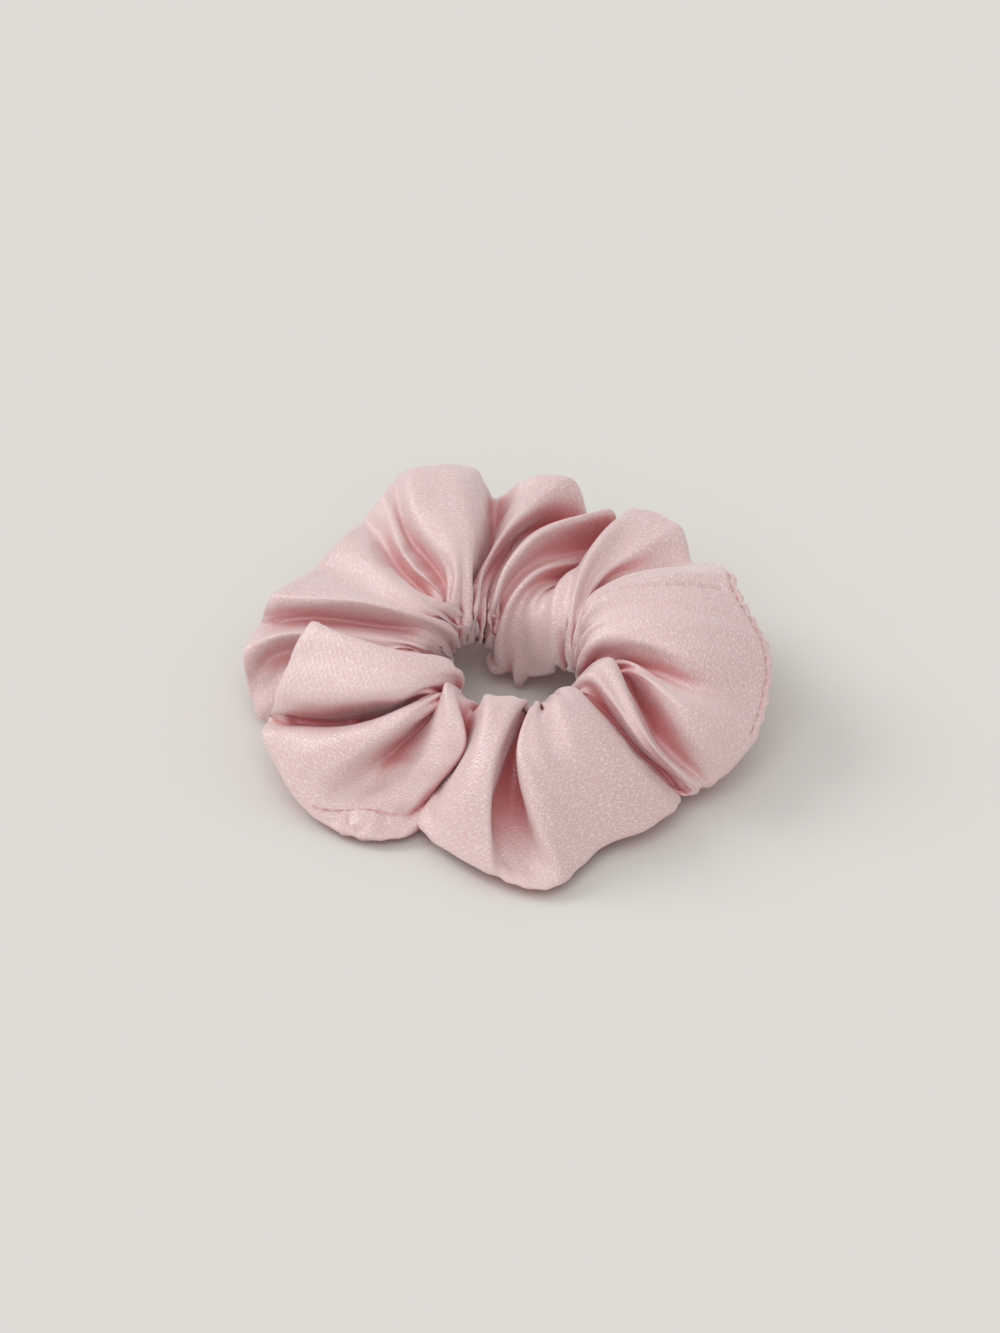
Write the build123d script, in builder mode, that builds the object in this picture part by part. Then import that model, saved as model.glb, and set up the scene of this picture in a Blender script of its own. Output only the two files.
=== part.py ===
"""A satin scrunchie: a gathered tube of cloth round a loop of flat elastic.

The cover is one strip of satin. Its ends are joined by a cross seam, its long edges by a long seam
that runs round the outside, and the gap that it was turned through is closed by a row of edge
stitches. The elastic lies loose in the tube, near the hole, and its lapped ends are sewn together.
Every row of stitches is a lockstitch, so it is two threads: the needle's and the bobbin's.

Millimetres, +Z up. The origin is on the ring's axis, on the surface that the ring lies on.
The cross seam, the edge stitches and the elastic's lap are all on the +X side.
"""

from build123d import *
from math import atan2, cos, degrees, radians, sin, sqrt
import os

# Driving dimensions of the ring
outer_radius = 55.0
ring_height = 33.0
opening_radius = 13.0

# The gathers: each is a puff of cloth with its own direction, in degrees, and its own reach,
# as a share of the outer radius
gathers = [
    (0, 1.0),
    (28, 0.97),
    (58, 0.95),
    (90, 1.0),
    (118, 0.96),
    (148, 0.98),
    (180, 1.0),
    (208, 0.96),
    (240, 0.95),
    (270, 1.0),
    (300, 0.95),
    (330, 0.97),
]
rest_depth = 0.6  # how far the lowest part of each puff is pressed flat

# Cloth: the wall stands for the thickness that the gathered satin has on average
cloth_wall = 0.5
seam_allowance = 4.0

# Elastic: a flat strip on edge
elastic_radius = 19.0
elastic_width = 6.0
elastic_thickness = 1.2
lap_angle = 30.0
lap_gap = 0.1
jog_angle = 16.0  # the turn over which the strip's end moves out, to lap over its start

# Thread
thread_radius = 0.15
thread_clearance = 0.05
stitch_share = 0.75  # of the pitch from one stitch to the next
long_stitches_per_gather = 8
cross_stitches = 21
cross_half_turn = 150.0  # degrees of the tube's outline, each side of its outermost point
edge_stitches = 7
edge_half_turn = 30.0
edge_inset = 2.0  # how far the edge stitches lie in from the cover's outer edge
edge_clearance = 0.35
lap_stitches = 5

# Worked out
inner_reach = opening_radius - 1.5
seam_height = (ring_height - rest_depth) / 2  # the middle of every puff, and the long seam
puff_half_height = (ring_height + rest_depth) / 2
thread_offset = cloth_wall + thread_clearance + thread_radius
seam_inset = cloth_wall + thread_offset  # of the stitches inside the tube, from its outside
elastic_bottom = seam_height - elastic_width / 2
lap_radius = elastic_radius + elastic_thickness + lap_gap


def puff_half_length(share):
    """Half of a puff's length along its radius."""
    return (outer_radius * share - inner_reach) / 2


def gathered_ring(inset):
    """The whole ring of puffs as one solid, with its surface moved in by inset."""
    with BuildPart() as ring:
        for angle, share in gathers:
            outward = Vector(cos(radians(angle)), sin(radians(angle)), 0)
            upright = Plane(
                origin=(0, 0, seam_height), x_dir=outward, z_dir=outward.cross(Vector(0, 0, 1))
            )
            half = puff_half_length(share)
            with BuildSketch(upright):
                with BuildLine():
                    crown = EllipticalCenterArc(
                        (inner_reach + half, 0), half - inset, puff_half_height - inset, 0, arc_size=180
                    )
                    Line(crown @ 1, crown @ 0)
                make_face()
            revolve(axis=Axis(upright.origin, outward))
        Cylinder(opening_radius + inset, 3 * ring_height, mode=Mode.SUBTRACT)
        split(bisect_by=Plane.XY.offset(inset), keep=Keep.TOP)
    return ring.part


def seam_allowances():
    """The turned-in edges inside the tube, along the long seam and round the cross seam."""
    ply_pair = 2 * cloth_wall
    reach_out = gathered_ring(cloth_wall / 2)
    free_space = gathered_ring(cloth_wall + seam_allowance)
    with BuildPart() as allowances:
        with Locations((0, 0, seam_height)):
            Cylinder(2 * outer_radius, ply_pair)
            Cylinder(outer_radius / 2, ply_pair, mode=Mode.SUBTRACT)
        with Locations((0, 0, seam_height)):
            Box(
                2 * outer_radius,
                ply_pair,
                2 * ring_height,
                align=(Align.MIN, Align.CENTER, Align.CENTER),
            )
        add(reach_out, mode=Mode.INTERSECT)
        add(free_space, mode=Mode.SUBTRACT)
    return allowances.part


def outline_point(share, turn, scale_in):
    """A point on a puff's outline, moved in by scale_in, as (along its radius, across)."""
    half = puff_half_length(share)
    t = radians(turn)
    return inner_reach + half + (half - scale_in) * cos(t), (puff_half_height - scale_in) * sin(t)


def in_ring(angle, along, across, height):
    """A point given in a puff's own directions, in the ring's."""
    a = radians(angle)
    return along * cos(a) - across * sin(a), along * sin(a) + across * cos(a), height


def stitch(start, end):
    """Adds one stitch, a short rod of thread on the middle of its pitch."""
    run = Vector(*end) - Vector(*start)
    first = Vector(*start) + run * ((1 - stitch_share) / 2)
    with BuildSketch(Plane(origin=first, z_dir=run)) as section:
        Circle(thread_radius)
    extrude(section.sketch, amount=run.length * stitch_share)


def free_turn(index):
    """How far round its outline a puff can be followed before the next puff hides it."""
    angle, share = gathers[index]
    after, before = gathers[(index + 1) % len(gathers)][0], gathers[index - 1][0]
    gap = min((after - angle) % 360, (angle - before) % 360)
    turn = 0.0
    while turn < 90:
        along, across = outline_point(share, turn, seam_inset)
        if degrees(atan2(across, along)) > 0.45 * gap:
            break
        turn += 1.0
    return turn


def long_seam_row(height):
    """One thread of the long seam, inside the tube's outer wall."""
    with BuildPart() as row:
        for index, (angle, share) in enumerate(gathers):
            reach = free_turn(index)
            step = 2 * reach / long_stitches_per_gather
            for k in range(long_stitches_per_gather):
                turn = -reach + k * step
                if index == 0 and abs(turn + step / 2) < edge_half_turn:
                    continue
                ends = (outline_point(share, t, seam_inset) for t in (turn, turn + step))
                stitch(*(in_ring(angle, *p, height) for p in ends))
    return row.part


def cross_seam_row(side):
    """One thread of the cross seam, round the inside of the tube on +X."""
    step = 2 * cross_half_turn / cross_stitches
    with BuildPart() as row:
        for k in range(cross_stitches):
            if k == cross_stitches // 2:  # the long seam's allowance is in its place
                continue
            ends = []
            for turn in (k * step - cross_half_turn, (k + 1) * step - cross_half_turn):
                along, up = outline_point(1.0, turn, seam_inset)
                ends.append((along, side, max(seam_height + up, seam_inset)))
            stitch(*ends)
    return row.part


def edge_row(up):
    """One thread of the edge stitches that close the turning gap, on the cover's outside."""
    scale = 1 - edge_inset / puff_half_length(1.0)
    rise = puff_half_height * sqrt(1 - scale**2) + edge_clearance + thread_radius
    step = 2 * edge_half_turn / edge_stitches
    with BuildPart() as row:
        for k in range(edge_stitches):
            ends = []
            for turn in (k * step - edge_half_turn, (k + 1) * step - edge_half_turn):
                along, across = outline_point(1.0, turn, 0)
                centre = inner_reach + puff_half_length(1.0)
                ends.append(
                    (centre + (along - centre) * scale, across * scale, seam_height + up * rise)
                )
            stitch(*ends)
    return row.part


def lap_row(radius):
    """One thread of the zigzag that holds the elastic's lap, on one of its faces."""
    low, high = elastic_bottom + 0.15 * elastic_width, elastic_bottom + 0.85 * elastic_width
    step = 0.7 * lap_angle / lap_stitches
    with BuildPart() as row:
        for k in range(lap_stitches):
            heights = (low, high) if k % 2 else (high, low)
            angles = (radians((k + i - lap_stitches / 2) * step) for i in (0, 1))
            stitch(*((radius * cos(a), radius * sin(a), z) for a, z in zip(angles, heights)))
    return row.part


# The cover: a thin-walled ring with its seam allowances inside
outside = gathered_ring(0)
inside = gathered_ring(cloth_wall)
turned_in = seam_allowances()
with BuildPart() as satin_cover:
    add(outside)
    add(inside, mode=Mode.SUBTRACT)
    add(turned_in)

# The elastic: one strip whose end jogs outwards and laps over its start
with BuildPart() as elastic_band:
    with BuildSketch(Plane.XY.offset(elastic_bottom)):
        with BuildLine():
            loop = CenterArc((0, 0), elastic_radius, -lap_angle / 2, 360 - jog_angle)
            over = CenterArc((0, 0), lap_radius, -lap_angle / 2, lap_angle)
            Spline(loop @ 1, over @ 0, tangents=(loop % 1, over % 0))
        trace(line_width=elastic_thickness)
    extrude(amount=elastic_width)

pieces = {
    "satin_cover": satin_cover.part,
    "elastic_band": elastic_band.part,
    "long_seam_needle_thread": long_seam_row(seam_height + thread_offset),
    "long_seam_bobbin_thread": long_seam_row(seam_height - thread_offset),
    "cross_seam_needle_thread": cross_seam_row(thread_offset),
    "cross_seam_bobbin_thread": cross_seam_row(-thread_offset),
    "edge_needle_thread": edge_row(1),
    "edge_bobbin_thread": edge_row(-1),
    "lap_needle_thread": lap_row(lap_radius + elastic_thickness / 2 + 2 * thread_radius),
    "lap_bobbin_thread": lap_row(elastic_radius - elastic_thickness / 2 - 2 * thread_radius),
}

os.makedirs("parts", exist_ok=True)
for name, piece in pieces.items():
    piece.label = name
    export_step(piece, f"parts/{name}.step")
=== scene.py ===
"""A pink satin scrunchie that lies on a pale floor.

The cover is one tube of satin, gathered onto a loop of elastic. GUIDES lays out its folds: each
entry is one ridge or valley of the upper side. Blender's cloth then settles the tube round them.
Lengths are in millimetres until a mesh is made.
"""
import bpy
import math
import numpy as np
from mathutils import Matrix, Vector


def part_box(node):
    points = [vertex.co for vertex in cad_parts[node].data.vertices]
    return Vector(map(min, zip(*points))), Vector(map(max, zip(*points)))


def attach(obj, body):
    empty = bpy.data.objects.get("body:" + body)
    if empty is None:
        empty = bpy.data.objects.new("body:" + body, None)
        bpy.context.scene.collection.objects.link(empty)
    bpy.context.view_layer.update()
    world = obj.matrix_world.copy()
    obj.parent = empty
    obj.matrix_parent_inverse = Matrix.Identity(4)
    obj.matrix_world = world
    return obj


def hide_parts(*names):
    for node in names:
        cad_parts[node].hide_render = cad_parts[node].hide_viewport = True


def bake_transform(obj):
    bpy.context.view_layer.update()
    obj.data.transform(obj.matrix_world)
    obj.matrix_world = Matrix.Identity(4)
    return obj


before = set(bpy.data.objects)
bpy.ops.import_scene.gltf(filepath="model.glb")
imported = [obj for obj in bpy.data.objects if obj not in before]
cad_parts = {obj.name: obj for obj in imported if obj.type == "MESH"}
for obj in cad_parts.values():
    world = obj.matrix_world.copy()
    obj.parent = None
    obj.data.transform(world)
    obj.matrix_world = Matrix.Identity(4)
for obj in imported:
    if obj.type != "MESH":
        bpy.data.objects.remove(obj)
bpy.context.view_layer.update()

# The satin strip
GIRTH = 96.0          # round the tube, which is two layers of half that width
EDGE = GIRTH / 2      # the long seam, at the ring's outer edge
SPARE = 1.04          # length of strip for each length of fold
SEAM_ALLOWANCE = 4.0
CLOTH_THICKNESS = 0.25

# The simulated net, and the finer net that is shown
NET_STEP = 2.3
SHOWN_STEP = 1.15
FINE_STEP = 0.35      # beside the rows of stitches
FINE_REACH = 3.5

# The elastic, on the radius and at the height that the CAD has
ELASTIC_RADIUS = 19.0
ELASTIC_WIDTH = 6.0
ELASTIC_THICKNESS = 1.2
ELASTIC_RIB = 0.09
LAP_STEP_OUT = 1.3
LAP_HALF_ANGLE = 15.0
JOG_ANGLE = 16.0

# How the tube passes round the elastic
INSIDE_ELASTIC = 16.6     # the three radii of the cloth beside it
OUTSIDE_ELASTIC = 20.9
OUTSIDE_LAP = 22.6
LAP_REACH = 24.0          # degrees either side of the lap where the cloth clears it
UNDER_ELASTIC = 8.5       # height of the cloth below its outer face
INNER_CORNER = 12.5       # height of the cloth below its inner face
HIGH_START = 17.0         # a guide that starts above this goes round that inner corner first

# Heights that keep the cloth off the floor: of a guide, of the net and of the shown cloth
GUIDE_LOWEST = 1.2
NET_LOWEST = 0.6
SHOWN_LOWEST = 0.25

GATHERS = 73          # fine gathers round the elastic

# Stitches
THREAD_RADIUS = 0.13
STITCH_LENGTH = 2.4
STITCH_GAP = 0.35
EDGE_ROW = 2.0        # from the outer edge to the row that closes the turning gap
CROSS_ROW_END = 6.0   # from the elastic to where the hidden cross row starts and ends
LONG_ROW_END = 5.0    # from the cross seam to where the hidden long row starts and ends
LONG_ROW_DEPTH = 2.6  # from the outer edge to the hidden long row

# The weave of the satin
YARN_PITCH = 0.5
FLOAT_LENGTH = 1.4    # of a yarn over the cloth, before it dips
FLOAT_SHIFT = 0.4     # of that length, from one row to the next
SATIN_PINKS = (0.71, 0.515, 0.505), (0.765, 0.57, 0.555)
BETWEEN_YARNS = (0.58, 0.26, 0.26)
# a pale glint painted into the satin's colour on specks of its grain
PAINTED_GLINT = (0.88, 0.80, 0.79)
# a deep red shade painted into the satin's colour in narrow folds
PAINTED_FOLD_SHADE = (0.60, 0.10, 0.115)

# The camera and the floor, in metres
CAMERA_ELEVATION = math.radians(38)
CAMERA_DISTANCE = 1.4
VIEW_WIDTH = 0.2024   # of the plane through the ring's axis
VIEW_CENTRE = -0.001, 0.0139          # to the right and up, from the ring's axis
SENSOR_WIDTH = 36
FLOOR_HALF = 4

# Each ridge and valley, anticlockwise from the cross seam: five points of the upper side, from
# beside the elastic, over the rim of the hole, to the outer edge
GUIDES = [
    ("cross_seam", (15.9, 3.4, 15.5), (16.0, 4.8, 27.0), (20.1, 9.0, 30.0),
     (34.1, 10.7, 30.5), (48.1, 13.0, 25.5)),
    ("G_top", (15.7, 4.5, 15.5), (15.8, 6.4, 27.5), (18.0, 10.3, 29.5),
     (32.2, 16.7, 30.0), (46.7, 22.7, 27.0)),
    ("V_FG", (15.5, 5.3, 15.0), (15.4, 4.7, 20.8), (18.7, 18.2, 24.0),
     (26.8, 23.1, 23.0), (37.7, 26.9, 23.5)),
    ("F_right", (15.4, 5.0, 15.0), (15.1, 5.0, 24.0), (20.1, 18.0, 27.0),
     (28.6, 25.3, 28.5), (38.6, 33.3, 28.5)),
    ("V_Fmid", (15.3, 5.3, 15.0), (14.6, 5.6, 23.5), (18.2, 20.9, 26.5),
     (26.4, 30.9, 27.5), (33.5, 40.0, 28.0)),
    ("F2", (14.5, 3.6, 16.5), (13.5, 6.6, 25.0), (15.1, 15.6, 29.5),
     (19.4, 26.4, 31.0), (25.6, 41.9, 28.4)),
    ("V_F2F1", (13.7, 6.9, 15.0), (12.9, 9.0, 22.0), (14.0, 18.6, 26.0),
     (16.2, 29.8, 23.5), (27.6, 42.4, 25.0)),
    ("F1", (10.6, 6.8, 14.0), (9.2, 9.1, 22.5), (10.6, 15.6, 26.0),
     (14.6, 24.2, 25.0), (28.2, 41.0, 12.0)),
    ("V_F1E3", (9.7, 8.6, 8.0), (7.4, 11.9, 14.0), (6.3, 13.9, 20.5),
     (8.3, 21.7, 21.0), (27.6, 42.0, 5.0)),
    ("E3", (5.6, 11.7, 5.0), (4.7, 11.8, 17.5), (5.3, 14.3, 23.0),
     (9.2, 18.9, 24.0), (27.0, 42.8, 2.5)),
    ("V_E3E2", (3.3, 13.6, 3.5), (3.5, 14.9, 18.0), (4.5, 18.7, 21.5),
     (9.2, 24.5, 21.0), (26.6, 43.0, 5.0)),
    ("E2", (0.6, 15.3, 5.0), (-1.6, 13.4, 14.0), (0.6, 15.8, 23.0),
     (7.0, 20.8, 27.5), (26.6, 42.6, 12.0)),
    ("V_E1E2", (-1.4, 15.9, 8.0), (-1.2, 17.8, 20.3), (2.0, 22.9, 21.5),
     (8.3, 31.5, 20.5), (23.9, 42.6, 16.0)),
    ("E1", (-2.1, 16.8, 13.0), (-2.4, 16.0, 20.0), (0.6, 22.3, 26.5),
     (7.9, 29.3, 30.5), (23.3, 43.0, 26.8)),
    ("V_DE1", (-3.4, 15.8, 15.5), (-3.0, 17.8, 20.3), (-1.4, 29.8, 19.5),
     (5.1, 43.2, 18.0), (19.5, 46.0, 14.0)),
    ("D", (-7.0, 15.4, 17.0), (-7.4, 15.5, 21.5), (-3.0, 28.6, 24.5),
     (4.7, 37.1, 29.0), (15.9, 50.1, 31.2)),
    ("D2", (-7.3, 15.0, 19.0), (-6.6, 17.7, 21.5), (-2.1, 33.0, 24.5),
     (1.5, 43.3, 27.0), (5.0, 50.6, 30.0)),
    ("V_CD", (-8.4, 14.6, 20.5), (-7.5, 18.6, 20.5), (-4.3, 30.5, 19.0),
     (-2.5, 42.8, 18.0), (-1.4, 51.6, 22.5)),
    ("C_right", (-8.8, 13.9, 21.0), (-7.8, 18.3, 24.5), (-6.4, 24.2, 28.5),
     (-5.0, 38.4, 31.0), (-6.0, 52.3, 30.7)),
    ("C_mid", (-9.2, 13.9, 21.0), (-9.3, 18.6, 26.0), (-11.1, 25.2, 30.0),
     (-12.5, 38.0, 32.5), (-12.5, 51.3, 32.7)),
    ("C_left", (-9.7, 14.1, 21.0), (-10.9, 20.6, 25.0), (-16.5, 27.9, 29.0),
     (-20.6, 38.4, 31.0), (-21.0, 51.2, 30.7)),
    ("V_C", (-9.8, 13.9, 20.5), (-11.1, 17.5, 20.5), (-13.6, 27.8, 20.5),
     (-19.1, 33.6, 24.0), (-23.2, 50.6, 29.0)),
    ("C2", (-10.0, 13.9, 20.0), (-14.3, 18.5, 24.0), (-20.0, 24.5, 26.5),
     (-22.9, 35.7, 27.5), (-25.6, 46.6, 27.0)),
    ("V_C2A", (-10.2, 13.6, 20.0), (-12.2, 15.7, 20.4), (-22.0, 29.9, 20.0),
     (-26.0, 36.9, 22.0), (-29.9, 44.2, 22.0)),
    ("A1_up", (-10.1, 12.5, 19.0), (-13.6, 10.3, 25.0), (-22.9, 16.6, 27.5),
     (-28.3, 26.1, 27.0), (-32.3, 37.2, 25.0)),
    ("V_A1", (-9.8, 12.5, 17.0), (-15.6, 8.6, 24.0), (-26.0, 14.0, 25.0),
     (-33.7, 21.7, 23.0), (-40.0, 28.2, 20.5)),
    ("A1_low", (-10.4, 11.2, 14.0), (-10.0, 8.6, 20.0), (-19.2, 5.9, 26.5),
     (-31.9, 9.9, 27.0), (-49.1, 17.5, 22.5)),
    ("V_A1A", (-11.1, 11.5, 12.0), (-16.3, 6.8, 20.6), (-23.8, 11.3, 18.5),
     (-39.1, 17.5, 16.5), (-50.7, 18.3, 14.5)),
    ("A", (-14.8, 6.0, 14.0), (-17.4, 2.4, 20.5), (-25.6, 5.1, 21.0),
     (-43.6, 9.2, 19.0), (-53.8, 9.4, 15.0)),
    ("V_A2", (-15.8, 3.9, 14.0), (-19.0, 2.0, 20.5), (-31.0, 6.0, 13.0),
     (-45.9, 14.4, 10.0), (-52.8, 6.1, 8.0)),
    ("A2", (-16.1, 2.3, 14.0), (-18.0, -1.0, 20.5), (-32.0, 1.0, 16.0),
     (-45.4, 6.9, 11.0), (-51.6, 4.0, 3.5)),
    ("V_K", (-16.3, -0.6, 14.0), (-18.5, -3.5, 20.3), (-30.0, -3.0, 9.0),
     (-41.0, 0.0, 4.0), (-48.1, 2.8, 1.0)),
    ("K1_top", (-13.3, -8.9, 16.0), (-9.8, -9.3, 26.0), (-18.3, -9.2, 28.5),
     (-30.1, -4.5, 30.0), (-38.9, 2.5, 30.5)),
    ("K1_mid", (-11.7, -10.6, 16.0), (-8.4, -11.0, 25.0), (-18.3, -14.3, 27.0),
     (-32.8, -9.3, 26.0), (-44.0, -3.8, 24.0)),
    ("K1_low", (-10.8, -12.0, 16.0), (-13.4, -14.2, 23.5), (-21.0, -17.6, 23.5),
     (-34.6, -15.3, 21.0), (-47.0, -9.3, 17.0)),
    ("V_K1K2", (-10.6, -12.6, 15.0), (-15.8, -15.0, 20.3), (-22.0, -6.0, 10.0),
     (-34.0, -8.0, 9.0), (-48.5, -9.0, 12.0)),
    ("K2", (-9.9, -13.1, 15.0), (-12.5, -15.0, 23.0), (-25.6, -19.8, 19.5),
     (-35.5, -18.6, 16.0), (-49.5, -14.4, 11.0)),
    ("K2b", (-9.2, -13.6, 15.0), (-12.3, -16.0, 22.5), (-23.8, -24.1, 18.0),
     (-32.9, -26.7, 12.0), (-40.0, -28.0, 3.5)),
    ("V_K2K3", (-8.5, -14.2, 15.0), (-10.5, -15.8, 20.3), (-20.5, -15.5, 10.3),
     (-25.0, -21.0, 8.7), (-30.1, -28.1, 4.8)),
    ("K3", (-7.3, -14.3, 15.5), (-12.0, -15.2, 26.0), (-12.5, -21.8, 22.0),
     (-16.5, -26.3, 14.0), (-23.3, -30.0, 4.5)),
    ("K3b", (-5.5, -15.0, 15.5), (-10.2, -16.1, 25.0), (-7.8, -23.9, 22.5),
     (-6.4, -28.0, 19.0), (-18.3, -29.6, 4.0)),
    ("V_K3J", (-4.0, -16.1, 15.0), (-6.5, -18.0, 20.5), (-10.0, -22.0, 12.0),
     (-13.0, -24.5, 8.2), (-18.9, -30.1, 4.5)),
    ("J_left", (-2.3, -16.0, 15.5), (-3.0, -17.5, 25.0), (-3.9, -27.2, 24.5),
     (-9.8, -36.5, 14.5), (-13.8, -39.4, 3.0)),
    ("J_ridge", (1.7, -16.1, 15.5), (4.1, -18.4, 24.5), (0.6, -28.8, 24.0),
     (-2.5, -38.8, 17.5), (-3.9, -48.2, 3.0)),
    ("V_J1", (3.5, -16.4, 15.0), (3.2, -20.4, 20.3), (-0.5, -27.0, 12.0),
     (-3.5, -36.0, 7.5), (0.6, -50.3, 2.8)),
    ("V_J2", (4.6, -16.1, 15.0), (4.1, -19.7, 20.3), (4.0, -27.0, 11.0),
     (4.5, -38.5, 6.5), (7.4, -52.6, 2.5)),
    ("J_right", (5.3, -15.3, 15.5), (5.6, -20.5, 25.0), (1.5, -33.9, 22.0),
     (5.9, -42.4, 14.0), (12.2, -50.6, 2.0)),
    ("V_JI", (6.9, -14.8, 15.5), (7.9, -20.3, 24.0), (9.7, -32.4, 22.0),
     (16.9, -35.2, 13.5), (21.0, -37.8, 3.0)),
    ("I", (8.3, -13.9, 15.5), (10.6, -17.3, 24.8), (15.1, -26.5, 24.5),
     (21.0, -32.1, 18.0), (28.6, -36.4, 4.0)),
    ("V_I", (9.6, -13.2, 15.5), (11.5, -15.1, 24.0), (17.3, -24.4, 22.3),
     (24.1, -31.0, 16.0), (31.3, -32.9, 4.0)),
    ("I2", (10.6, -12.2, 15.5), (12.4, -14.0, 24.5), (19.6, -24.2, 22.5),
     (26.8, -30.3, 16.0), (34.2, -30.6, 5.0)),
    ("V_HI", (12.7, -10.7, 15.0), (15.3, -12.3, 20.3), (21.0, -12.9, 15.0),
     (27.3, -19.0, 10.0), (35.9, -22.9, 4.0)),
    ("H3", (13.6, -8.5, 15.5), (16.9, -11.2, 24.8), (21.9, -19.9, 23.0),
     (27.3, -24.3, 17.0), (36.9, -23.9, 5.0)),
    ("V_H", (14.3, -7.3, 15.5), (18.2, -8.5, 24.8), (21.9, -14.5, 22.0),
     (26.4, -22.7, 17.5), (37.7, -24.3, 5.0)),
    ("H2", (14.6, -5.9, 15.5), (20.1, -6.7, 27.0), (23.7, -15.1, 25.0),
     (29.4, -26.7, 18.0), (38.8, -24.5, 4.8)),
    ("V_dart", (16.0, -4.3, 15.0), (22.8, -5.2, 20.5), (26.4, -7.2, 14.0),
     (31.3, -17.2, 11.5), (40.4, -23.1, 5.0)),
    ("H1", (16.0, -2.8, 15.0), (24.6, -6.4, 22.0), (31.3, -17.1, 24.0),
     (37.7, -22.8, 17.0), (43.1, -21.2, 6.0)),
    ("H1b", (16.1, -1.7, 15.0), (23.7, -4.2, 22.0), (35.4, -17.2, 23.0),
     (43.1, -18.0, 19.0), (50.8, -15.4, 11.0)),
    ("V_GH", (16.4, -0.6, 15.0), (21.9, -1.3, 20.3), (31.3, -5.8, 20.0),
     (40.4, -10.7, 19.0), (53.2, -7.0, 15.0)),
    ("G_low", (16.0, 0.6, 15.5), (17.8, -0.9, 24.0), (25.5, -3.9, 27.5),
     (37.7, -9.2, 26.5), (54.9, -2.0, 18.0)),
    ("G_mid", (16.0, 2.0, 15.5), (15.7, 1.6, 25.5), (23.2, 1.5, 29.0),
     (36.8, 0.0, 29.0), (53.6, 3.9, 22.0)),
]
# Where the lower side bulges out past the seam, by the guide's name
LIPS = {
    "K2b": (-37.5, -31.5, 1.6),
    "V_K2K3": (-31.5, -35.0, 1.6),
    "K3": (-25.0, -36.6, 1.8),
    "K3b": (-19.5, -34.5, 1.8),
    "V_K3J": (-17.5, -32.0, 1.6),
}
ROW_START, ROW_END = "H1b", "G_top"     # the guides that the edge stitches run between


def polar(radius, angle, height):
    return np.array([radius * math.cos(angle), radius * math.sin(angle), height])


def fading(distance, width):
    """1 at no distance, fading to nothing within a few widths."""
    return np.exp(-(distance / width)**2)


def along(points, shares):
    """Points at those shares of the length of a smooth curve through the given points."""
    step = np.linalg.norm(np.diff(points, axis=0), axis=1)
    at = np.concatenate([[0.0], np.cumsum(step)]) / step.sum()
    slope = np.zeros_like(points)
    slope[1:-1] = (points[2:] - points[:-2]) / (at[2:] - at[:-2])[:, None]
    slope[0] = (points[1] - points[0]) / (at[1] - at[0])
    slope[-1] = (points[-1] - points[-2]) / (at[-1] - at[-2])
    k = np.clip(np.searchsorted(at, shares, side="right") - 1, 0, len(points) - 2)
    gap = (at[k + 1] - at[k])[:, None]
    t = (shares - at[k])[:, None] / gap
    return hermite(t, gap, points[k], points[k + 1], slope[k], slope[k + 1])


def hermite(t, gap, start, end, start_slope, end_slope):
    """The cubic curve between two points with those slopes, at a share t of the gap."""
    return ((2 * t**3 - 3 * t**2 + 1) * start + (t**3 - 2 * t**2 + t) * gap * start_slope
            + (3 * t**2 - 2 * t**3) * end + (t**3 - t**2) * gap * end_slope)


def underside(name, upper):
    """The lower side of a guide, from the outer edge back under the elastic to where it began."""
    start, rim, middle, outer, edge = upper
    path = [edge]
    if name in LIPS:
        path.append(np.array(LIPS[name]))
    for point, drop, share, least_radius in (((outer + edge) / 2, 4.0, 0.38, 30.0),
                                             (middle, 7.0, 0.25, 29.0)):
        radius = max(math.hypot(point[0], point[1]), least_radius)
        angle = math.atan2(point[1], point[0])
        height = max(min(point[2] - drop, point[2] * share), GUIDE_LOWEST)
        path.append(polar(radius, angle, height))
    rim_angle = math.atan2(rim[1], rim[0])
    by_lap = abs(math.degrees(rim_angle)) < LAP_REACH
    height = max(min(UNDER_ELASTIC, start[2] - 1.5), GUIDE_LOWEST)
    path.append(polar(OUTSIDE_LAP if by_lap else OUTSIDE_ELASTIC, rim_angle, height))
    if start[2] > HIGH_START:
        path.append(polar(INSIDE_ELASTIC, math.atan2(start[1], start[0]), INNER_CORNER))
    path.append(start)
    return np.array(path)


def folded_net():
    """The net over the guides, and what places it: its length and the guides' places along it."""
    count = 2 * round(GIRTH / NET_STEP / 2)
    shares = np.linspace(0, 1, count // 2 + 1)
    rings = []
    for name, *points in GUIDES:
        upper = np.array(points, float)
        rings.append(np.concatenate([along(upper, shares)[:-1],
                                     along(underside(name, upper), shares)[:-1]]))
    rings = np.array(rings)
    after = np.roll(rings, -1, axis=0)
    before = np.roll(rings, 1, axis=0)
    # a span of strip is long enough for seven tenths of its upper rows
    upper_gaps = np.linalg.norm(after - rings, axis=2)[:, :count // 2]
    span = np.maximum(np.percentile(upper_gaps, 70, axis=1), NET_STEP) * SPARE
    places = np.concatenate([[0.0], np.cumsum(span)])
    length = places[-1]
    slopes = 0.75 * (after - before) / (span + np.roll(span, 1))[:, None, None]
    columns = round(length / NET_STEP)
    u = np.arange(columns) * length / columns
    k = np.searchsorted(places, u, side="right") - 1
    j = (k + 1) % len(rings)
    gap = span[k][:, None, None]
    t = ((u - places[k]) / span[k])[:, None, None]
    net = hermite(t, gap, rings[k], rings[j], slopes[k], slopes[j])
    net[:, :, 2] = np.maximum(net[:, :, 2], NET_LOWEST)
    return net, length, places


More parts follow.
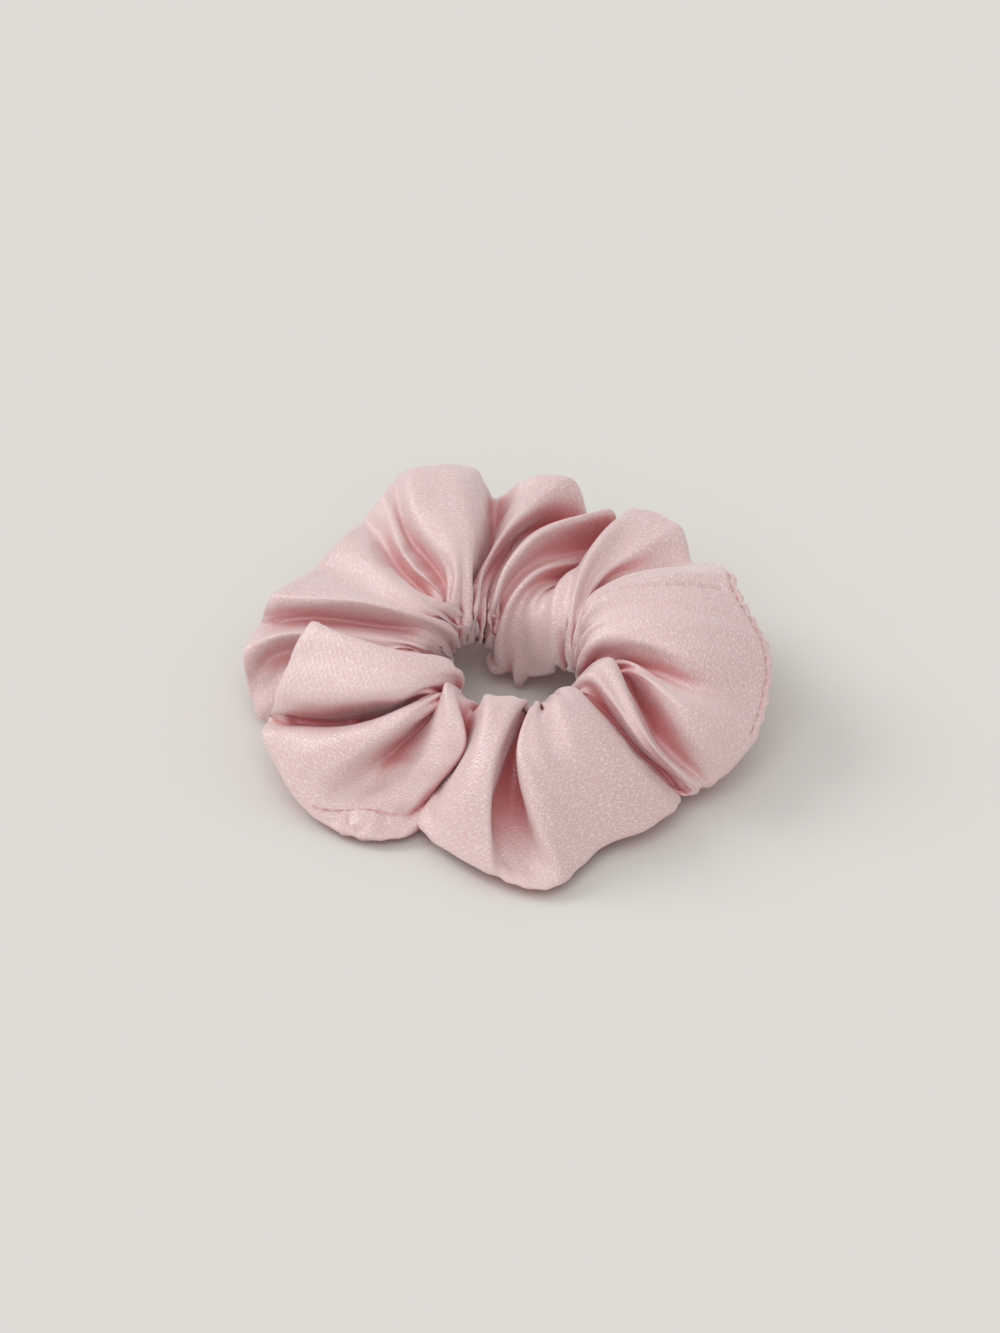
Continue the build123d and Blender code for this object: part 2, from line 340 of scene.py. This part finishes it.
def net_faces(columns, rows):
    """Quads of a net that closes both ways, facing out of the tube."""
    index = np.arange(columns * rows).reshape(columns, rows)
    ahead = np.roll(index, -1, axis=0)
    return np.stack([index, np.roll(index, -1, axis=1), np.roll(ahead, -1, axis=1), ahead],
                    axis=2).reshape(-1, 4)


def placed(name, data):
    """A new object, in the scene."""
    made = bpy.data.objects.new(name, data)
    bpy.context.scene.collection.objects.link(made)
    return made


def mesh_object(name, points, faces):
    mesh = bpy.data.meshes.new(name)
    mesh.from_pydata(points.tolist(), [], faces)
    return placed(name, mesh)


def square(name, half):
    corners = np.array([(-half, -half, 0), (half, -half, 0), (half, half, 0), (-half, half, 0)])
    return mesh_object(name, corners, [(0, 1, 2, 3)])


def open_tube(columns, rows, length):
    """The same net before it is gathered: a flat tube standing on the ring's axis."""
    half_depth, off_floor = 1.5, 2
    angle = (2 * math.pi * np.arange(columns) / columns)[:, None]
    row = np.arange(rows) / rows
    across = np.where(row <= 0.5, 2 * row, 2 - 2 * row)
    side = np.where(row <= 0.5, half_depth, -half_depth)
    radius = length / (2 * math.pi) + side * np.sqrt(np.sin(math.pi * across).clip(0))
    height = np.broadcast_to(EDGE * (1 - across) + off_floor, (columns, rows))
    return np.stack([radius * np.cos(angle), radius * np.sin(angle), height], axis=2)


def held_to(places, length, columns, rows):
    """How firmly each point of the net is held: most on the guides, and less on the underside."""
    on_guides, between, of_lower_side = 0.8, 0.55, 0.45
    u = np.arange(columns) * length / columns
    away = np.abs(u[:, None] - places[None, :-1])
    away = np.minimum(away, length - away).min(axis=1)
    row = np.arange(rows) / rows
    side = np.where(row <= 0.55, 1.0, of_lower_side)
    hold = np.maximum(on_guides * fading(away, 0.7 * NET_STEP)[:, None] * side, between)
    hold[:, 0] = 1.0          # the row along the elastic goes just where it's led
    return hold


def settled(net, length, places):
    """The net after Blender's cloth has gathered it, held softly to the guides.

    It runs at ten times the size, where the solver's least distances are small enough.
    """
    scale = 0.01              # of Blender's metres for each millimetre
    ease = 1.02               # the cloth's own size, over the folded net's
    gathered_at, last = 30, 32
    columns, rows = net.shape[:2]
    tube = mesh_object("sim_tube", open_tube(columns, rows, length).reshape(-1, 3) * scale,
                       net_faces(columns, rows).tolist())
    tube.shape_key_add(name="open")
    folded = tube.shape_key_add(name="folded")
    folded.data.foreach_set("co", (net * scale).astype(np.float32).ravel())
    rest = tube.shape_key_add(name="rest")
    rest.data.foreach_set("co", (net * scale * ease).astype(np.float32).ravel())
    for value, when in ((0, 1), (1, gathered_at)):
        folded.value = value
        folded.keyframe_insert("value", frame=when)
    for curve in tube.data.shape_keys.animation_data.action.fcurves:
        for key in curve.keyframe_points:
            key.interpolation = "LINEAR"

    group = tube.vertex_groups.new(name="hold")
    for index, weight in enumerate(held_to(places, length, columns, rows).ravel()):
        group.add([index], float(weight), "REPLACE")

    ground = square("sim_floor", 3)
    ground.modifiers.new("Collision", "COLLISION")
    ground.collision.thickness_outer = 0.003
    ground.collision.cloth_friction = 10

    cloth = tube.modifiers.new("Cloth", "CLOTH")
    cloth.point_cache.frame_start, cloth.point_cache.frame_end = 1, last
    settings = cloth.settings
    settings.quality = 5
    settings.mass = 0.1
    settings.air_damping = 3.0
    settings.tension_stiffness, settings.compression_stiffness = 60, 30
    settings.shear_stiffness, settings.bending_stiffness = 15, 1.5
    settings.tension_damping, settings.compression_damping = 12, 12
    settings.shear_damping, settings.bending_damping = 8, 1.0
    settings.rest_shape_key = rest
    settings.vertex_group_mass = "hold"
    settings.pin_stiffness = 15
    settings.effector_weights.gravity = 0.0
    settings.use_pressure = True
    settings.uniform_pressure_force = 0.25
    touch = cloth.collision_settings
    touch.use_self_collision = True
    touch.self_distance_min = 0.005
    touch.self_friction = 3
    touch.distance_min = 0.003
    touch.collision_quality = 2

    scene = bpy.context.scene
    for step in range(1, last + 1):
        scene.frame_set(step)
    result = tube.evaluated_get(bpy.context.evaluated_depsgraph_get()).to_mesh()
    points = np.empty(len(result.vertices) * 3, np.float32)
    result.vertices.foreach_get("co", points)
    for helper in (tube, ground):
        data = helper.data
        bpy.data.objects.remove(helper)
        bpy.data.meshes.remove(data)
    scene.frame_set(1)
    return points.astype(float).reshape(net.shape) / scale


def smoothed(net):
    """The net with each point drawn part of the way to the mean of its neighbours."""
    along_strip = (np.roll(net, 1, axis=0) + np.roll(net, -1, axis=0)) / 2 - net
    round_tube = (np.roll(net, 1, axis=1) + np.roll(net, -1, axis=1)) / 2 - net
    return net + 0.35 * along_strip + 0.2 * round_tube


def spline(net, at):
    """The smooth curve led by a closed net's columns, at places counted in columns."""
    k = np.floor(at).astype(int)
    t = at - k
    weights = (1 - t)**3, 3 * t**3 - 6 * t**2 + 4, -3 * t**3 + 3 * t**2 + 3 * t + 1, t**3
    return sum(w[:, None, None] / 6 * net[(k + i - 1) % len(net)] for i, w in enumerate(weights))


class Tube:
    """The settled cover as a smooth surface. u runs along the strip and v round the tube."""

    def __init__(self, net, length, places):
        self.net, self.length = net, length
        self.place = {guide[0]: place for guide, place in zip(GUIDES, places)}

    def smooth(self, u, v):
        columns, rows = self.net.shape[:2]
        part = spline(self.net, np.asarray(u) * columns / self.length)
        return spline(part.transpose(1, 0, 2), np.asarray(v) * rows / GIRTH).transpose(1, 0, 2)

    def outward(self, u, v):
        step = 0.4
        u, v = np.asarray(u, float), np.asarray(v, float)
        along_u = self.smooth(u + step, v) - self.smooth(u - step, v)
        round_v = self.smooth(u, v + step) - self.smooth(u, v - step)
        normal = np.cross(round_v, along_u)
        return normal / np.maximum(np.linalg.norm(normal, axis=2, keepdims=True), 1e-9)

    def shown(self, u, v):
        """The surface with its small relief: seams, puckers, gathers and creases."""
        return self.smooth(u, v) + self.outward(u, v) * self.relief(u, v)[:, :, None]

    def from_cross_seam(self, u):
        """How far along the strip from the cross seam, at most half the strip either way."""
        return (u + self.length / 2) % self.length - self.length / 2

    def on_row(self, u):
        """1 where the edge stitches run, else 0, with soft ends."""
        away = self.from_cross_seam(u)
        start = self.place[ROW_START] - self.length
        end = self.place[ROW_END]
        return np.clip((away - start) / 2 + 1, 0, 1) * np.clip((end - away) / 2 + 1, 0, 1)

    def slack_depth(self, u, v, from_elastic):
        """How deep the gathers are that take up the strip's slack where a row is drawn short."""
        step = 1.5
        across = self.smooth(u[:, 0] + step, v[0]) - self.smooth(u[:, 0] - step, v[0])
        drawn = np.clip(np.linalg.norm(across, axis=2) / (2 * step), 0, 1)
        deep = np.sqrt(2 * (1 - drawn**2)) * self.length / (2 * math.pi * GATHERS)
        # under low parts of the upper side there's no room for them, except by the elastic
        room = np.min([(self.smooth(u[:, 0] + aside, GIRTH - v[0])
                        - self.smooth(u[:, 0] + aside, v[0]))[:, :, 2]
                       for aside in (-15, -10, -5, 0, 5, 10, 15)], axis=0)
        most = 0.2 * np.maximum(room - 3, 0) + 3 * fading(from_elastic, 12)
        under = np.minimum(deep * np.clip((v - EDGE - 8) / 10, 0, 1), most)
        return np.where(v > EDGE, under, 0.85 * deep * fading(from_elastic, 9))

    def gather_side(self, v, from_elastic):
        """Gathers stand off the elastic, and further out on the underside they fold up inside."""
        return np.where(v > EDGE, 1.8 * fading(from_elastic, 12) - 0.9, 0.6)

    def relief(self, u, v):
        """How far the shown cloth stands off the smooth surface."""
        u, v = np.meshgrid(np.asarray(u, float), np.asarray(v, float), indexing="ij")
        from_seam = np.abs(self.from_cross_seam(u))
        from_edge = np.abs(v - EDGE)
        from_elastic = np.minimum(v % GIRTH, GIRTH - v % GIRTH)
        turn = 2 * math.pi * u / self.length
        wander = 1.6 * np.sin(11 * turn + 0.7) + 1.1 * np.sin(23 * turn + 2.1)

        gathers = self.slack_depth(u, v, from_elastic) * (
            np.sin(GATHERS * turn + wander) + self.gather_side(v, from_elastic))
        creases = (0.20 * np.sin(47 * turn + wander + v / 9) * np.sin(5 * turn + v / 17) ** 2
                   + 0.12 * np.sin(71 * turn - 1.4 * wander - v / 6 + 1))

        # each seam: the allowance underneath, the groove of the stitches, and the puckers
        cross = (0.22 * over_allowance(from_seam) - 0.55 * fading(from_seam, 0.5)
                 + 0.16 * fading(from_seam, 4) * np.sin(2 * math.pi * v / 3.3 + np.sin(v / 4)))
        row = self.on_row(u)
        edge = (0.14 * over_allowance(from_edge) - 0.34 * row * fading(from_edge - EDGE_ROW, 0.45)
                + 0.24 * row * fading(from_edge, 3.2) * np.sin(137 * turn + wander))
        return gathers + creases + cross + edge


def over_allowance(distance):
    """1 over a seam's allowance, else 0, with a soft end."""
    soft_end = 0.8
    return np.clip((SEAM_ALLOWANCE + soft_end / 2 - distance) / soft_end, 0, 1)


def steps(total, dense_from, dense_to):
    """Places from 0 to total, closer together between each dense_from and its dense_to."""
    places = [0.0]
    while places[-1] < total:
        dense = any(a <= places[-1] % total <= b for a, b in zip(dense_from, dense_to))
        places.append(places[-1] + (FINE_STEP if dense else SHOWN_STEP))
    return np.array(places[:-1]) * total / places[-1]


def cover_object(tube):
    """The cloth as two shells a cloth's thickness apart, with its own u and v as UV in centimetres."""
    length = tube.length
    u = steps(length, (0.0, length - FINE_REACH), (FINE_REACH, length))
    v = steps(GIRTH, (EDGE - FINE_REACH,), (EDGE + FINE_REACH,))
    outer = tube.shown(u, v)
    outer[:, :, 2] = np.maximum(outer[:, :, 2], SHOWN_LOWEST)
    inner = outer - tube.outward(u, v) * CLOTH_THICKNESS
    faces = net_faces(len(u), len(v))
    points = np.concatenate([outer.reshape(-1, 3), inner.reshape(-1, 3)]) / 1000
    both = np.concatenate([faces, faces[:, ::-1] + len(u) * len(v)])
    cover = mesh_object("satin_cover_cloth", points, both.tolist())
    cover.data.shade_smooth()

    across_u, across_v = np.append(u, length) / 10, np.append(v, GIRTH) / 10
    i, j = np.meshgrid(np.arange(len(u)), np.arange(len(v)), indexing="ij")
    corners = np.stack([np.stack([across_u[i + a], across_v[j + b]], axis=2)
                        for a, b in ((0, 0), (0, 1), (1, 1), (1, 0))], axis=2).reshape(-1, 4, 2)
    layer = cover.data.uv_layers.new(name="UVMap")
    uv = np.concatenate([corners, corners[:, ::-1]]).astype(np.float32)
    layer.data.foreach_set("uv", uv.ravel())
    return cover


def two_ply(name, stitches, radius):
    """One thread's stitches as twisted two-ply tubes. Each stitch is a line of points."""
    sides, twist_length, swell_share = 8, 1.1, 0.16
    around = 2 * math.pi * np.arange(sides) / sides
    points, faces, start = [], [], 0
    for stitch in stitches:
        way = np.gradient(stitch, axis=0)
        way /= np.linalg.norm(way, axis=1, keepdims=True)
        side = np.cross(way, (0.31, 0.17, 0.93))
        side /= np.linalg.norm(side, axis=1, keepdims=True)
        up = np.cross(side, way)
        share = np.linspace(0, 1, len(stitch))
        run = share * np.linalg.norm(np.diff(stitch, axis=0), axis=1).sum()
        size = radius * (0.45 + 0.55 * np.sqrt(np.sin(math.pi * share).clip(0)))
        twist = 2 * math.pi * run[:, None] / twist_length
        swell = 1 + swell_share * np.cos(2 * around[None] - twist)
        ring = size[:, None] * swell
        tubes = (stitch[:, None] + side[:, None] * (ring * np.cos(around))[:, :, None]
                 + up[:, None] * (ring * np.sin(around))[:, :, None])
        points.append(tubes.reshape(-1, 3))
        for a in range(len(stitch) - 1):
            for b in range(sides):
                c = (b + 1) % sides
                low, high = start + a * sides, start + (a + 1) * sides
                faces.append((low + b, low + c, high + c, high + b))
        faces.append(tuple(start + b for b in reversed(range(sides))))
        faces.append(tuple(start + (len(stitch) - 1) * sides + b for b in range(sides)))
        start += len(stitch) * sides
    made = mesh_object(name, np.concatenate(points) / 1000, faces)
    made.data.shade_smooth()
    return made


def stitch_spans(start, end):
    """The two ends of each stitch of a row."""
    count = round((end - start) / (STITCH_LENGTH + STITCH_GAP))
    pitch = (end - start) / count
    return [(start + k * pitch, start + (k + 1) * pitch - STITCH_GAP) for k in range(count)]


def edge_stitches(tube, v, name):
    """The row that closes the turning gap, lying on the cloth on one side of the edge."""
    count = 9                 # points along a stitch, which dips into the cloth at its ends
    rows = []
    for start, end in stitch_spans(tube.place[ROW_START] - tube.length + 1, tube.place[ROW_END] - 1):
        u = np.linspace(start, end, count)
        lift = THREAD_RADIUS * (1.1 - 3.0 * np.abs(np.linspace(-1, 1, count))**6)
        rows.append(tube.shown(u, [v])[:, 0] + tube.outward(u, [v])[:, 0] * lift[:, None])
    return two_ply(name, rows, THREAD_RADIUS)


def cross_stitches(tube, u, name):
    """The hidden row that joins the strip's ends, inside the tube under the cross seam."""
    inside = CLOTH_THICKNESS + 1.4 * THREAD_RADIUS
    rows = []
    for start, end in stitch_spans(CROSS_ROW_END, GIRTH - CROSS_ROW_END):
        by_long_seam = abs((start + end) / 2 - EDGE) < 3
        if not by_long_seam:
            v = np.linspace(start, end, 6)
            rows.append(tube.shown([u], v)[0] - tube.outward([u], v)[0] * inside)
    return two_ply(name, rows, 0.8 * THREAD_RADIUS)


def long_stitches(tube, shift, name):
    """The hidden row that joins the strip's long edges, inside the tube along its outer edge."""
    rows = []
    for start, end in stitch_spans(LONG_ROW_END, tube.length - LONG_ROW_END):
        u = np.linspace(start, end, 6)
        upper = tube.shown(u, [EDGE - LONG_ROW_DEPTH])[:, 0]
        lower = tube.shown(u, [EDGE + LONG_ROW_DEPTH])[:, 0]
        between = lower - upper
        between /= np.maximum(np.linalg.norm(between, axis=1, keepdims=True), 1e-6)
        rows.append((upper + lower) / 2 + between * shift)
    return two_ply(name, rows, 0.7 * THREAD_RADIUS)


def elastic_object():
    """The flat elastic: a ribbed strip on edge, whose end steps out and laps over its start."""
    low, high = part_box("elastic_band")
    middle = (low.z + high.z) / 2 * 1000
    angle = np.radians(np.linspace(-LAP_HALF_ANGLE, 360 + LAP_HALF_ANGLE, 421))
    jog = np.clip((np.degrees(angle) - 360 + LAP_HALF_ANGLE + JOG_ANGLE) / JOG_ANGLE, 0, 1)
    radius = ELASTIC_RADIUS + LAP_STEP_OUT * jog**2 * (3 - 2 * jog)
    across = np.linspace(-1, 1, 25)
    ribs = ELASTIC_RIB * np.cos(across * 6 * math.pi)
    face = ELASTIC_THICKNESS / 2 - ELASTIC_RIB + ribs
    section_r = np.concatenate([face, -face])
    section_z = np.concatenate([across, across[::-1]]) * ELASTIC_WIDTH / 2
    knit = 0.035 * np.sin(angle[:, None] * 210) * np.sign(section_r)
    r = radius[:, None] + section_r[None] + knit
    points = np.stack([r * np.cos(angle)[:, None], r * np.sin(angle)[:, None],
                       np.broadcast_to(section_z + middle, r.shape)], axis=2)
    count = len(section_r)
    faces = []
    for a in range(len(angle) - 1):
        for b in range(count):
            c = (b + 1) % count
            faces.append((a * count + b, (a + 1) * count + b, (a + 1) * count + c, a * count + c))
    faces.append(tuple(range(count)))
    faces.append(tuple(reversed(range((len(angle) - 1) * count, len(angle) * count))))
    return mesh_object("elastic_strip", points.reshape(-1, 3) / 1000, faces)


class Graph:
    """A material's node tree, with short ways to add nodes."""

    def __init__(self, name):
        self.material = bpy.data.materials.new(name)
        self.material.use_nodes = True
        self.tree = self.material.node_tree
        self.shader = self.tree.nodes["Principled BSDF"]

    def plug(self, value, socket):
        if isinstance(value, bpy.types.NodeSocket):
            self.tree.links.new(value, socket)
        else:
            socket.default_value = value

    def math(self, operation, *values):
        made = self.tree.nodes.new("ShaderNodeMath")
        made.operation = operation
        for value, socket in zip(values, made.inputs):
            self.plug(value, socket)
        return made.outputs[0]

    def noise(self, vector, scale, detail):
        made = self.tree.nodes.new("ShaderNodeTexNoise")
        self.plug(vector, made.inputs["Vector"])
        made.inputs["Scale"].default_value = scale
        made.inputs["Detail"].default_value = detail
        return made.outputs["Fac"]

    def mapped(self, value, low, high, to_low, to_high):
        made = self.tree.nodes.new("ShaderNodeMapRange")
        for given, socket in zip((value, low, high, to_low, to_high), made.inputs):
            self.plug(given, socket)
        return made.outputs[0]

    def mix(self, share, first, second):
        made = self.tree.nodes.new("ShaderNodeMix")
        made.data_type = "RGBA"
        self.plug(share, made.inputs[0])
        self.plug((*first, 1) if isinstance(first, tuple) else first, made.inputs[6])
        self.plug((*second, 1) if isinstance(second, tuple) else second, made.inputs[7])
        return made.outputs[2]

    def openness(self, reach):
        """1 in the open, and less in folds narrower than the reach, where shade is painted into the
        colour.
        """
        made = self.tree.nodes.new("ShaderNodeAmbientOcclusion")
        made.samples = 8
        made.inputs["Distance"].default_value = reach
        return made.outputs["AO"]

    def coordinates(self, kind, scale):
        source = self.tree.nodes.new("ShaderNodeTexCoord")
        made = self.tree.nodes.new("ShaderNodeMapping")
        made.inputs["Scale"].default_value = scale
        self.tree.links.new(source.outputs[kind], made.inputs["Vector"])
        return made.outputs[0]

    def split(self, vector):
        made = self.tree.nodes.new("ShaderNodeSeparateXYZ")
        self.plug(vector, made.inputs[0])
        return made.outputs

    def bump(self, height, strength, distance, under=None):
        made = self.tree.nodes.new("ShaderNodeBump")
        made.inputs["Strength"].default_value = strength
        made.inputs["Distance"].default_value = distance
        self.plug(height, made.inputs["Height"])
        if under is not None:
            self.plug(under, made.inputs["Normal"])
        return made.outputs[0]

    def set(self, **values):
        for name, value in values.items():
            self.plug(value, self.shader.inputs[name.replace("_", " ")])


def satin_material():
    """Satin: long floats of yarn, each row stepped along from the last, with slubs, a glitter from
    smoother specks of its grain that is also painted pale into the colour as a glint, and shade
    painted deep red into its narrow folds.
    """
    g = Graph("pink_satin")
    x, y, _ = g.split(g.coordinates("UV", (10, 10, 10)))     # millimetres
    rows = g.math("DIVIDE", y, YARN_PITCH)
    row = g.math("FLOOR", rows)
    floats = g.math("ADD", g.math("DIVIDE", x, FLOAT_LENGTH), g.math("MULTIPLY", row, FLOAT_SHIFT))
    over_x = g.math("SINE", g.math("MULTIPLY", g.math("FRACT", floats), math.pi))
    over_y = g.math("SINE", g.math("MULTIPLY", g.math("FRACT", rows), math.pi))
    weave = g.math("MULTIPLY", g.math("POWER", over_x, 0.45), g.math("POWER", over_y, 0.6))
    grain = g.noise(g.coordinates("UV", (12, 22, 1)), 1.0, 3.0)
    slub = g.noise(g.coordinates("UV", (0.5, 2.4, 1)), 1.0, 2.0)
    tone = g.noise(g.coordinates("UV", (0.35, 0.35, 1)), 1.0, 3.0)
    painted_glint_share = g.mapped(grain, 0.5, 0.66, 0, 1)
    height = g.math("ADD", g.math("MULTIPLY", weave, 0.7), g.math("MULTIPLY", grain, 1.2))
    creased = g.bump(slub, 0.35, 0.0006)
    normal = g.bump(height, 0.55, 0.00012, creased)
    pink = g.mix(g.mapped(tone, 0.35, 0.65, 0, 1), *SATIN_PINKS)
    woven = g.mix(g.mapped(weave, 0.2, 0.9, 0.3, 0), pink, BETWEEN_YARNS)
    # painted highlight: the colour turns pale on specks of the grain
    with_painted_glint = g.mix(g.math("MULTIPLY", painted_glint_share, 0.65), woven, PAINTED_GLINT)
    # painted shade: the colour turns deep red in narrow folds, by ambient occlusion
    color = g.mix(g.mapped(g.openness(0.012), 0.12, 0.6, 0.95, 0), with_painted_glint, PAINTED_FOLD_SHADE)
    g.set(Base_Color=color, Roughness=g.mapped(grain, 0.3, 0.7, 0.42, 0.2), Normal=normal,
          Specular_IOR_Level=0.8, Anisotropic=0.5, Sheen_Weight=0.75, Sheen_Roughness=0.45,
          Sheen_Tint=(1.0, 0.94, 0.93, 1))
    return g.material


def thread_material(name, first, second):
    """Spun thread, between those two colours."""
    g = Graph(name)
    fibre = g.noise(g.coordinates("Object", (1, 1, 1)), 4200.0, 2.0)
    g.set(Base_Color=g.mix(fibre, first, second), Roughness=g.mapped(fibre, 0.3, 0.7, 0.36, 0.55),
          Normal=g.bump(fibre, 0.3, 0.00005), Sheen_Weight=0.3)
    return g.material


def elastic_material():
    """Knitted elastic: off-white, with a fine crosswise knit between the ribs."""
    g = Graph("knitted_elastic")
    knit = g.noise(g.coordinates("Object", (1, 1, 1.6)), 1500.0, 2.0)
    g.set(Base_Color=g.mix(knit, (0.70, 0.62, 0.58), (0.82, 0.76, 0.72)),
          Roughness=g.mapped(knit, 0.3, 0.7, 0.6, 0.85), Normal=g.bump(knit, 0.5, 0.0001),
          Sheen_Weight=0.25)
    return g.material


def floor_material():
    g = Graph("pale_floor")
    fleck = g.noise(g.coordinates("Object", (1, 1, 1)), 9.0, 4.0)
    g.set(Base_Color=g.mix(fleck, (0.721, 0.701, 0.668), (0.731, 0.711, 0.678)), Roughness=0.9,
          Specular_IOR_Level=0.1)
    return g.material


def paint(piece, material):
    piece.data.materials.clear()
    piece.data.materials.append(material)


def soft_light(name, place, spread, strength):
    """A far softbox that way, as wide as spread in degrees."""
    light = bpy.data.lights.new(name, "SUN")
    light.angle, light.energy = math.radians(spread), strength
    lamp = placed(name, light)
    lamp.location = place
    lamp.rotation_euler = (-Vector(place)).to_track_quat("-Z", "Y").to_euler()


# The cover is half the settled net and half the folded one, which keeps its narrow folds sharp
net, strip_length, guide_places = folded_net()
net = smoothed(0.5 * net + 0.5 * settled(net, strip_length, guide_places))
tube = Tube(net, strip_length, guide_places)

cover = cover_object(tube)
elastic = elastic_object()
long_needle = long_stitches(tube, -0.16, "long_seam_needle_stitches")
long_bobbin = long_stitches(tube, 0.16, "long_seam_bobbin_stitches")
cross_needle = cross_stitches(tube, 0.3, "cross_seam_needle_stitches")
cross_bobbin = cross_stitches(tube, -0.3, "cross_seam_bobbin_stitches")
edge_needle = edge_stitches(tube, EDGE - EDGE_ROW, "edge_needle_stitches")
edge_bobbin = edge_stitches(tube, EDGE + EDGE_ROW, "edge_bobbin_stitches")

thread = thread_material("pink_thread", (0.66, 0.36, 0.36), (0.80, 0.52, 0.50))
elastic_thread = thread_material("white_thread", (0.74, 0.70, 0.66), (0.86, 0.83, 0.80))
paint(cover, satin_material())
paint(elastic, elastic_material())

# What stands for which node of the CAD, and what it moves with. The stretch pulls the +X side
# away: the pieces that go all the way round are attached to no body, and the others move with the
# pulled side.
round_pieces = {cover: "satin_cover", elastic: "elastic_band",
                long_needle: "long_seam_needle_thread", long_bobbin: "long_seam_bobbin_thread"}
side_pieces = {cross_needle: "cross_seam_needle_thread", cross_bobbin: "cross_seam_bobbin_thread",
               edge_needle: "edge_needle_thread", edge_bobbin: "edge_bobbin_thread"}
for piece, node in round_pieces.items():
    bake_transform(piece)
    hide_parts(node)
for piece, node in side_pieces.items():
    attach(piece, "pulled_side")
    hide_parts(node)
seam_threads = [long_needle, long_bobbin, *side_pieces]
for piece in seam_threads:
    paint(piece, thread)
for node in ("lap_needle_thread", "lap_bobbin_thread"):
    paint(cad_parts[node], elastic_thread)

# The floor, the light and the camera
floor = square("floor", FLOOR_HALF)
paint(floor, floor_material())

soft_light("key", (-0.75, 0.35, 0.6), 30, 1.05)
soft_light("front", (-0.1, -0.6, 0.8), 55, 0.8)

world = bpy.data.worlds.new("studio")
world.use_nodes = True
world.node_tree.nodes["Background"].inputs["Color"].default_value = (1.0, 0.99, 0.975, 1)
world.node_tree.nodes["Background"].inputs["Strength"].default_value = 0.62
bpy.context.scene.world = world
bpy.context.scene.view_settings.view_transform = "Standard"

camera = placed("camera", bpy.data.cameras.new("camera"))
back = Vector((0, -math.cos(CAMERA_ELEVATION), math.sin(CAMERA_ELEVATION)))
up = Vector((0, math.sin(CAMERA_ELEVATION), math.cos(CAMERA_ELEVATION)))
centre_x, centre_up = VIEW_CENTRE
camera.location = Vector((centre_x, 0, 0)) + up * centre_up + back * CAMERA_DISTANCE
camera.rotation_euler = (-back).to_track_quat("-Z", "Y").to_euler()
camera.data.sensor_fit = "HORIZONTAL"
camera.data.sensor_width = SENSOR_WIDTH
camera.data.lens = SENSOR_WIDTH * CAMERA_DISTANCE / VIEW_WIDTH
bpy.context.scene.camera = camera
